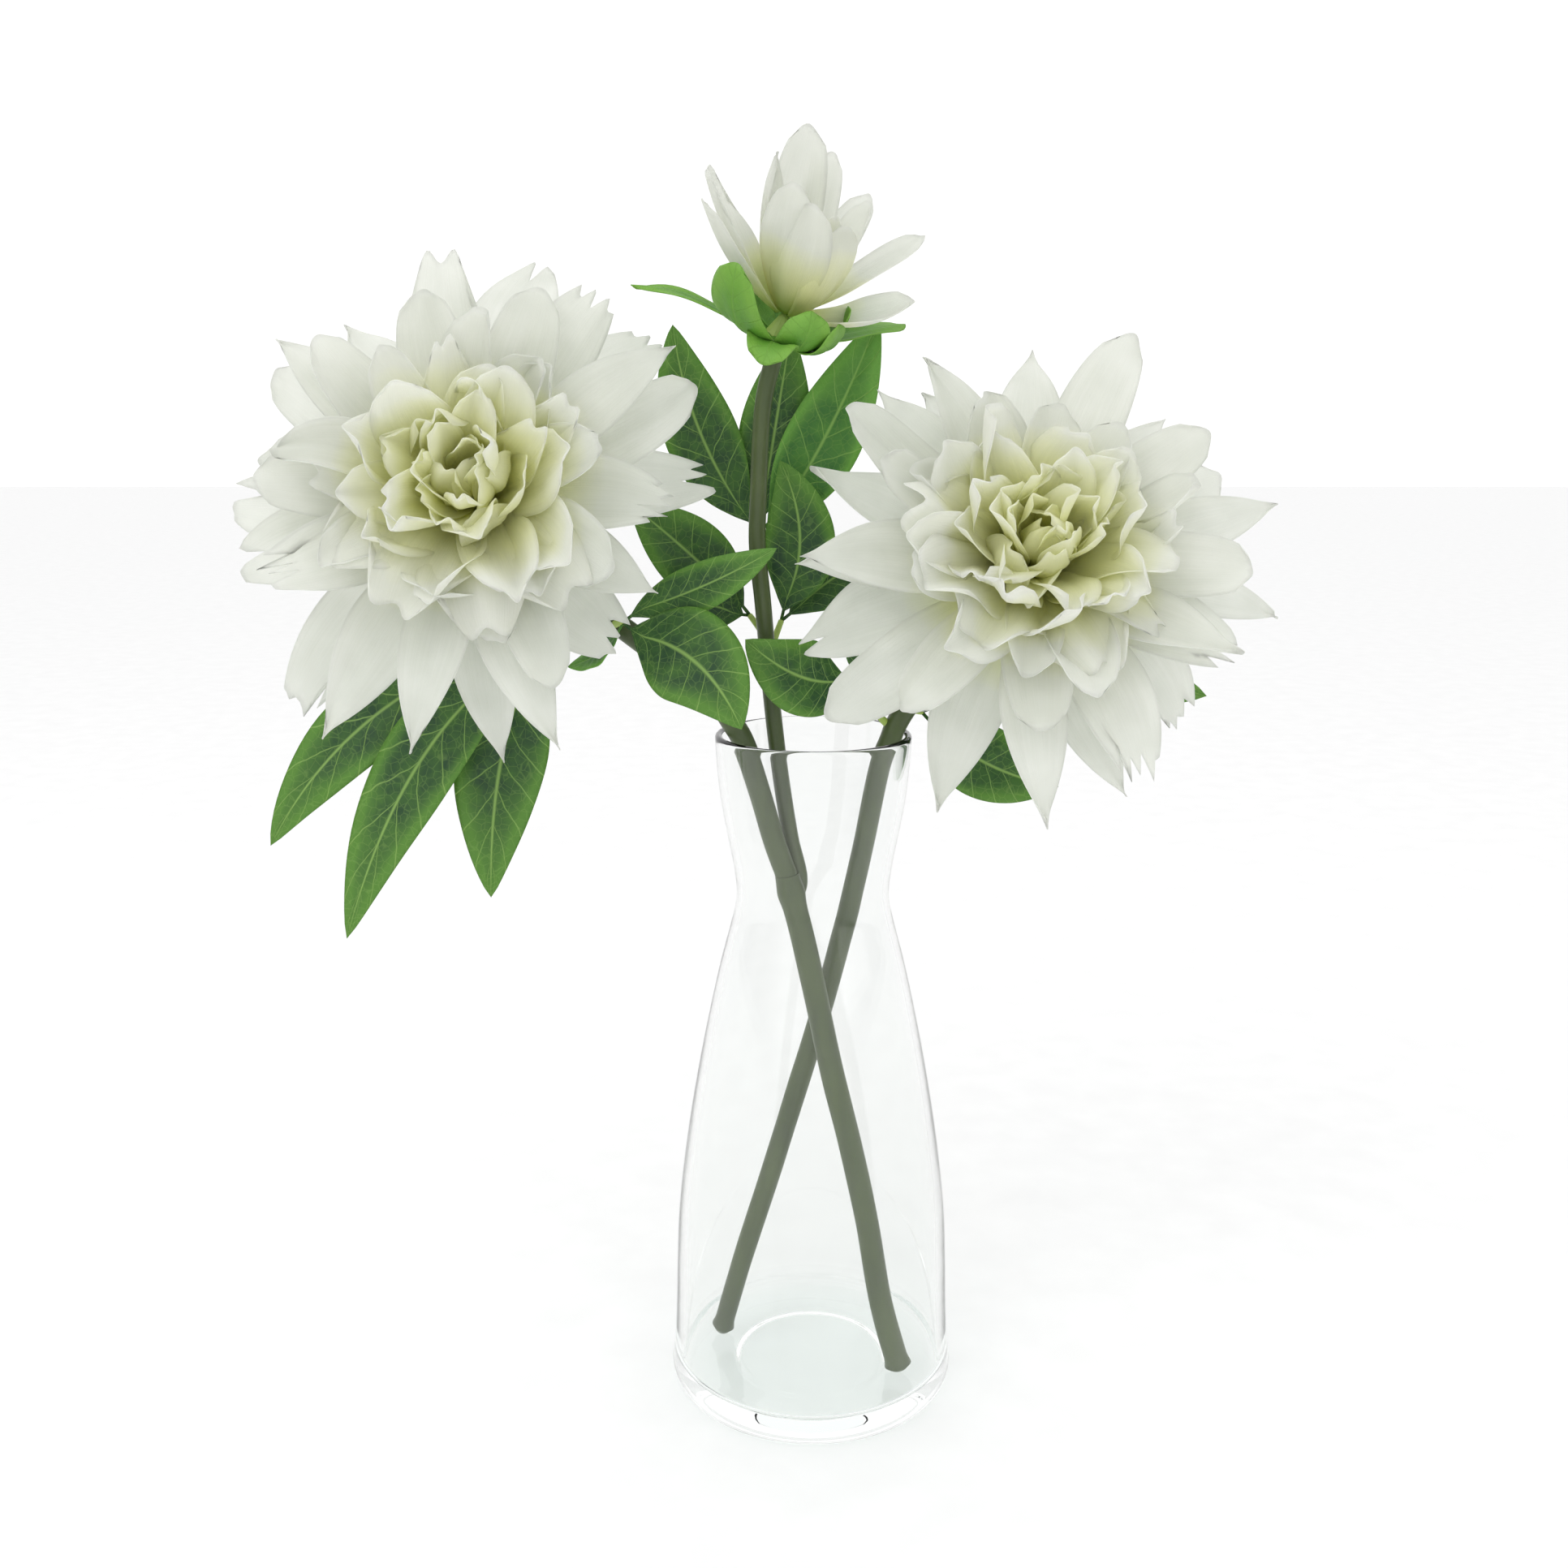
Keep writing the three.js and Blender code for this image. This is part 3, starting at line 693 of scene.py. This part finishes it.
def ruffled_petal(azimuth, length, foot, rise, curl):
    """A broad petal whose white wavy edge juts forward below the middle."""
    return {
        "azimuth": azimuth, "length": length, "foot": foot, "rise": rise, "curl": curl, "width": 40,
        "tip": "lobes", "cup": 0.1, "ruffle": 3.0, "wavy": 4.2, "pleat": 0.6, "wide_at": 0.85,
        "heart_reach": OPEN_HEART_REACH,
    }


def build_open_bloom(prefix, bloom, outer_rings, inner_offset, ruffles, cloth, painted_light_heart_cloth, rng):
    for number, (start, end) in enumerate(RING_RISE):
        sheets = Sheets()
        foot = open_ring(number)
        if number < len(outer_rings):
            for azimuth, length, tip in outer_rings[number]:
                petal = outer_petal(number, start, end, length, tip, rng)
                add_petal(sheets, bloom, {**petal, "azimuth": azimuth, "foot": foot}, rng, 24, 16)
        else:
            count, length, width, curl, wavy = INNER_RINGS[number - len(outer_rings)]
            for i in range(count):
                azimuth = inner_offset + 37 * number + 360 * i / count + rng.uniform(-9, 9)
                petal = inner_petal(start, end, length, width, curl, wavy, rng)
                add_petal(sheets, bloom, {**petal, "azimuth": azimuth, "foot": foot}, rng, 18, 12)
        for azimuth, length, ring, rise, curl in ruffles:
            if ring == number:
                add_petal(sheets, bloom, ruffled_petal(azimuth, length, foot, rise, curl), rng, 22, 18)
        # The inner rings get the lighter cloth, painted light against the shade in the bloom's middle.
        skin = cloth if number < 4 else painted_light_heart_cloth
        node = f"{prefix}_petals_{number + 1}"
        sheets.build(f"{prefix}_ring_{number + 1}", skin, node, PETAL_THICKNESS)


# Ruffled petals of each open bloom: azimuth, length, ring, rise at foot and tip, curl.
LEFT_RUFFLES = [
    (242, 55, 5, (58, 10), -20), (278, 57, 5, (56, 4), -20),
    (312, 56, 4, (54, 8), -16), (210, 52, 4, (52, 14), -20),
]
RIGHT_RUFFLES = [
    (172, 56, 4, (56, 30), 10), (205, 54, 5, (60, 22), 0),
    (238, 50, 5, (56, 20), -16), (292, 52, 5, (50, 10), -14),
]

# Outer rings from the back: azimuth from the bloom's right towards its top, length, tip.
LEFT_RINGS = [
    [(8, 76, "fringe"), (48, 84, "fringe"), (80, 90, "notch"), (120, 70, "point"), (150, 72, "round"),
     (185, 73, "fringe"), (223, 84, "fringe"), (272, 80, "point"), (309, 62, "fringe")],
    [(20, 76, "round"), (60, 76, "fringe"), (100, 76, "lobes"), (140, 76, "point"), (167, 64, "round"),
     (198, 74, "fringe"), (238, 87, "point"), (283, 84, "point"), (328, 64, "point")],
    [(358, 64, "fringe"), (34, 80, "point"), (68, 66, "round"), (105, 62, "round"), (140, 64, "round"),
     (175, 64, "round"), (210, 70, "fringe"), (258, 86, "point"), (296, 68, "round")],
]
RIGHT_RINGS = [
    [(32, 70, "round"), (70, 80, "round"), (108, 78, "point"), (150, 78, "point"), (195, 74, "notch"),
     (243, 79, "point"), (285, 74, "point"), (318, 66, "fringe"), (354, 79, "point")],
    [(14, 85, "point"), (52, 66, "point"), (91, 77, "point"), (125, 75, "point"), (176, 72, "point"),
     (220, 80, "round"), (266, 83, "point"), (298, 78, "fringe"), (332, 68, "fringe")],
    [(38, 67, "round"), (70, 80, "round"), (113, 74, "point"), (144, 76, "round"), (184, 76, "point"),
     (232, 66, "round"), (268, 60, "round"), (326, 71, "point"), (355, 66, "round")],
]

# Half-open bloom, ring by ring: azimuth, length, rise at foot and tip, width, tip.
TOP_RINGS = [
    [(140, 52, 34, 62, 27, "lobes"), (162, 47, 26, 58, 22, "round"), (80, 60, 58, 84, 25, "round"),
     (24, 50, 40, 60, 17, "round"), (352, 52, 30, 50, 15, "round"), (286, 40, 36, 112, 27, "round"),
     (324, 42, -4, 50, 24, "round")],
    [(226, 45, 38, 106, 24, "round"), (114, 50, 54, 88, 16, "point"), (50, 54, 50, 76, 17, "round"),
     (203, 48, 48, 98, 21, "round"), (6, 44, 50, 74, 16, "round")],
    [(20, 34, 44, 84, 14, "round"), (72, 38, 52, 88, 15, "round"), (128, 38, 50, 90, 15, "round"),
     (182, 34, 46, 92, 14, "round"), (240, 27, 46, 104, 13, "round"), (298, 26, 42, 96, 14, "round"),
     (345, 32, 40, 80, 13, "round")],
    [(45, 28, 52, 98, 11, "round"), (95, 30, 54, 98, 12, "round"), (150, 28, 54, 104, 11, "round"),
     (205, 26, 54, 108, 11, "round"), (260, 23, 50, 110, 11, "round"), (315, 25, 46, 100, 12, "round"),
     (355, 27, 48, 96, 11, "round")],
    [(10, 22, 60, 118, 9, "round"), (70, 24, 62, 120, 9, "round"), (130, 23, 62, 122, 9, "round"),
     (190, 21, 62, 124, 9, "round"), (250, 20, 60, 120, 9, "round"), (310, 21, 58, 116, 9, "round")],
]
TOP_PETAL_FOOT = 7  # how far above the hub the petals of the half-open bloom start


def build_half_open_bloom(bloom, cloth, painted_light_heart_cloth, rng):
    for number, ring in enumerate(TOP_RINGS):
        sheets = Sheets()
        foot = (3.6 - 0.5 * number, TOP_PETAL_FOOT + number)
        for azimuth, length, start, end, width, tip in ring:
            petal = {"azimuth": azimuth, "length": length, "width": width, "foot": foot, "tip": tip}
            petal.update(rise=(start, end), heart_reach=34)
            petal.update(cup=rng.uniform(0.6, 0.9), ruffle=0.4, wavy=0.5, pleat=0.25)
            petal.update(roll=rng.uniform(-12, 12), sway=rng.uniform(-4, 4), wide_at=0.66)
            if number > 1:
                petal.update(curl=rng.uniform(-20, 40), roll=rng.uniform(-30, 30), wavy=0.9)
            add_petal(sheets, bloom, petal, rng, 20, 12)
        # The inner rings get the lighter cloth, painted light against the shade in the bloom's middle.
        skin = cloth if number < 2 else painted_light_heart_cloth
        node = f"top_bloom_petals_{number + 1}"
        sheets.build(f"top_bloom_ring_{number + 1}", skin, node, PETAL_THICKNESS)


# Sepals of the half-open bloom: azimuth, length, rise at foot and tip, width, curl at the tip, tip.
TOP_SEPALS = [
    (196, 46, -8, 92, 25, 0, "round"), (152, 50, 6, 20, 10, -30, "point"),
    (226, 29, -16, 84, 20, -140, "round"), (258, 29, -26, 118, 22, 10, "round"),
    (298, 27, -26, 84, 20, 30, "round"), (330, 27, -12, 90, 19, 10, "round"),
    (347, 44, 0, 36, 14, -20, "round"), (60, 30, 0, 80, 22, 0, "round"), (105, 28, 0, 80, 20, 0, "round"),
]


def build_calyxes(blooms, green, rng):
    for prefix in ("left", "right"):
        sheets = Sheets()
        for i in range(5):
            petal = {"azimuth": 18 + 72 * i, "length": 29, "width": 21, "foot": (4.4, -3.6)}
            petal.update(rise=(2, -24), cup=-0.15, tip="point", heart_reach=1)
            add_petal(sheets, blooms[prefix], petal, rng, 14, 10)
        name = f"{prefix}_bloom_calyx"
        sheets.build(name, green, name, LEAF_THICKNESS)
    sheets = Sheets()
    for azimuth, length, start, end, width, curl, tip in TOP_SEPALS:
        petal = {"azimuth": azimuth, "length": length, "width": width, "foot": (3.4, -0.5)}
        petal.update(rise=(start, end), cup=0.5, ruffle=0.5, wavy=0.4, curl=curl, tip=tip, base=0.4)
        petal.update(heart_reach=1)
        add_petal(sheets, blooms["top"], petal, rng, 20, 12)
    sheets.build("top_bloom_calyx", green, "top_bloom_calyx", LEAF_THICKNESS)


# ---- leaves -----------------------------------------------------------------
# Per leaf: the stalk's route, then each leaflet's base, bend, tip, width and face direction.
LEAVES = {
    "lower_left": ([(-99, 8, 313), (-99, 9.6, 309), (-101, 6, 300), (-101, -4, 291)], [
        ((-106, -3, 288), (-168, -4, 268), (-195, -12, 216), 27, (0.1, -0.9, 0.4)),
        ((-104, -11, 283), (-146, -16, 256), (-168, -18, 183), 28, (0, -1, 0.25)),
        ((-99, -4, 282), (-117, -3, 250), (-117, -10, 196), 32, (0, -1, 0.1)),
    ]),
    "behind_top": ([(-20, 0.5, 316), (-20, 3.2, 317), (-20.6, 12, 319), (-20, 21, 325)], [
        ((-23, 23, 329), (-46, 26, 360), (-50, 20, 398), 26, (0, -1, 0.1)),
        ((-19, 26, 331), (-14, 30, 362), (-8, 25, 396), 25, (0, -1, 0.1)),
        ((-15.5, 22, 328), (6, 24, 356), (23, 20, 401), 27, (0, -1, 0.1)),
    ]),
    "behind_left": ([(-17.5, 0.5, 287), (-17.8, 3.4, 288), (-19, 8, 291), (-23, 12, 296)], [
        ((-25.5, 14, 299.5), (-44, 20, 318), (-66, 14, 336), 26, (0, -1, 0.2)),
        ((-26.5, 11, 295.5), (-40, 10, 304), (-60, 8, 299), 24, (0.1, -1, 0.3)),
    ]),
    "front_left": ([(-69.5, -10, 295.5), (-69, -13.2, 296), (-68, -15, 296.5), (-66, -18, 297)], [
        ((-63.5, -16.5, 300.5), (-38, -21, 308), (-13, -26, 323), 16, (0, -1, 0.3)),
        ((-63, -22, 293), (-38, -33, 293), (-25, -36, 263), 33, (0.1, -1, 0.4)),
        ((-68, -18.6, 293), (-74, -16, 284), (-86, -14, 281), 14, (0, -0.5, 1)),
    ]),
    "behind_right": ([(-16.5, 0.5, 283), (-15.3, 3, 284), (-14, 8, 288), (-11.6, 12, 294)], [
        ((-11.6, 12.5, 298.5), (2, 12, 322), (-12, 13, 351), 25, (0, -1, 0.1)),
        ((-7.6, 16, 296), (10, 28, 314), (36, 24, 320), 22, (0, -1, 0.3)),
    ]),
    "mouth": ([(29, 2.2, 256), (25.6, 1.4, 259), (20, -5, 266), (15.5, -8, 273)], [
        ((12, -9.6, 276), (-4, -17, 272), (-24, -17, 291), 27, (0, -1, 0.4)),
        ((15, -8.6, 277.5), (18, -8, 290), (29, -10, 303), 16, (0.2, -1, 0.1)),
    ]),
    "behind_bloom": ([(32.5, 4, 262), (35, 7.4, 262), (37, 9, 261.5), (40, 11.5, 260.5)], [
        ((43, 10, 257), (62, 8, 238), (90, 4, 234), 27, (0, -1, 0.3)),
        ((45, 16, 262), (98, 22, 278), (145, 14, 266), 30, (0, -1, 0.3)),
        ((41, 21, 266), (62, 32, 300), (98, 30, 320), 26, (0, -1, 0.2)),
    ]),
}
LEAF_ROWS, LEAF_COLUMNS = 30, 16


def add_leaflet(sheets, joint, base, bend, tip, width, face, rng):
    """A pointed blade along a bent midrib, folded at the midrib, with raised side panels."""
    base, bend, tip, towards = Vector(base), Vector(bend), Vector(tip), Vector(face).normalized()
    phase = rng.uniform(0, 6.28)
    neck = (Vector(joint) - base) * 0.92
    grid = []
    for i in range(LEAF_ROWS + 1):
        t = i / LEAF_ROWS
        centre = base * (1 - t) ** 2 + bend * 2 * t * (1 - t) + tip * t * t
        centre += neck * max(0.0, 1 - t / 0.12) ** 2
        ahead = ((bend - base) * (1 - t) + (tip - bend) * t).normalized()
        side = ahead.cross(towards).normalized()
        normal = side.cross(ahead).normalized()
        body = max(0.0, (t - 0.04) / 0.96)
        half = 0.6 * (1 - t) + width / 2 * max(0.0, math.sin(math.pi * body ** 0.85)) ** 0.8
        row = []
        for j in range(LEAF_COLUMNS + 1):
            v = 2 * j / LEAF_COLUMNS - 1
            panel = math.sin(2 * math.pi * (VEIN_PAIRS * t - VEIN_SLANT * abs(v) ** 0.8))
            lift = half * (0.22 * abs(v) - 0.16 * v * v)
            lift += 0.28 * panel * math.sin(math.pi * min(1, abs(v) * 1.1)) * min(1, half / 8)
            lift += 0.05 * half * v * math.sin(5.5 * t + phase)
            lift += 0.05 * half * abs(v) ** 3 * math.sin(17 * t + phase)
            row.append((centre + side * (v * half) + normal * lift, (v + 1) / 2, t))
        grid.append(row)
    sheets.grid(grid)


def build_leaves(stalk, dark_leaf, light_leaf, rng):
    for place, (route, leaflets) in LEAVES.items():
        points, faces = tube(smooth_path(route, 24), lambda share, distance: 1.5 - 0.45 * share, 12)
        solid_piece(f"{place}_stalk", points, faces, stalk, f"{place}_petiole")
        for i, (base, bend, tip, width, face) in enumerate(leaflets):
            sheets = Sheets()
            add_leaflet(sheets, route[-1], base, bend, tip, width, face, rng)
            pale = (place, i) in (("front_left", 2), ("behind_top", 2))
            skin = light_leaf if pale else dark_leaf
            node = f"{place}_leaflet_{i + 1}"
            sheets.build(f"{place}_blade_{i + 1}", skin, node, LEAF_THICKNESS)


# ---- assembly ---------------------------------------------------------------
add_camera()
add_studio()
rng = random.Random(SEED)
blooms = {
    "left": Bloom((-113, -30, 338), (0.083, -0.945, 0.317)),
    "right": Bloom((71, -30, 313), (0, -0.866, 0.5)),
    "top": Bloom((-12, -1, 394), (0.27, -0.36, 0.89)),
}
stem_plastic = stalk_material("stem_plastic", (0.040, 0.062, 0.016), (0.072, 0.102, 0.030), 0.36)
green_plastic = stalk_material("green_plastic", (0.30, 0.42, 0.08), (0.42, 0.55, 0.14), 0.5)
petal_cloth = petal_material("petal_cloth", (0.89, 0.90, 0.86), (0.98, 0.985, 0.52))
# A lighter copy of the petal cloth for the inner rings: painted light, a brighter white that lifts the
# shade falling in the crowded middle of each bloom.
painted_light_heart_cloth = petal_material("painted_light_heart_cloth", (0.97, 0.975, 0.93), (0.985, 0.99, 0.50))
dark_leaf = leaf_material("dark_leaf", (0.014, 0.060, 0.018), (0.095, 0.24, 0.030), (0.30, 0.50, 0.12))
light_leaf = leaf_material("light_leaf", (0.035, 0.15, 0.022), (0.14, 0.36, 0.05), (0.28, 0.50, 0.11))
sepal_cloth = leaf_material("sepal_cloth", (0.10, 0.30, 0.03), (0.20, 0.43, 0.06), (0.17, 0.38, 0.05))

build_vase()
build_stems(stem_plastic)
for prefix, rings, offset, ruffles in (
    ("left", LEFT_RINGS, 15, LEFT_RUFFLES),
    ("right", RIGHT_RINGS, 0, RIGHT_RUFFLES),
):
    cloths = (petal_cloth, painted_light_heart_cloth)
    build_open_bloom(f"{prefix}_bloom", blooms[prefix], rings, offset, ruffles, *cloths, rng)
build_half_open_bloom(blooms["top"], petal_cloth, painted_light_heart_cloth, rng)
build_calyxes(blooms, sepal_cloth, rng)
build_leaves(green_plastic, dark_leaf, light_leaf, rng)
for prefix in blooms:
    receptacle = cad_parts[f"{prefix}_bloom_receptacle"]
    receptacle.data.materials.clear()
    receptacle.data.materials.append(green_plastic)
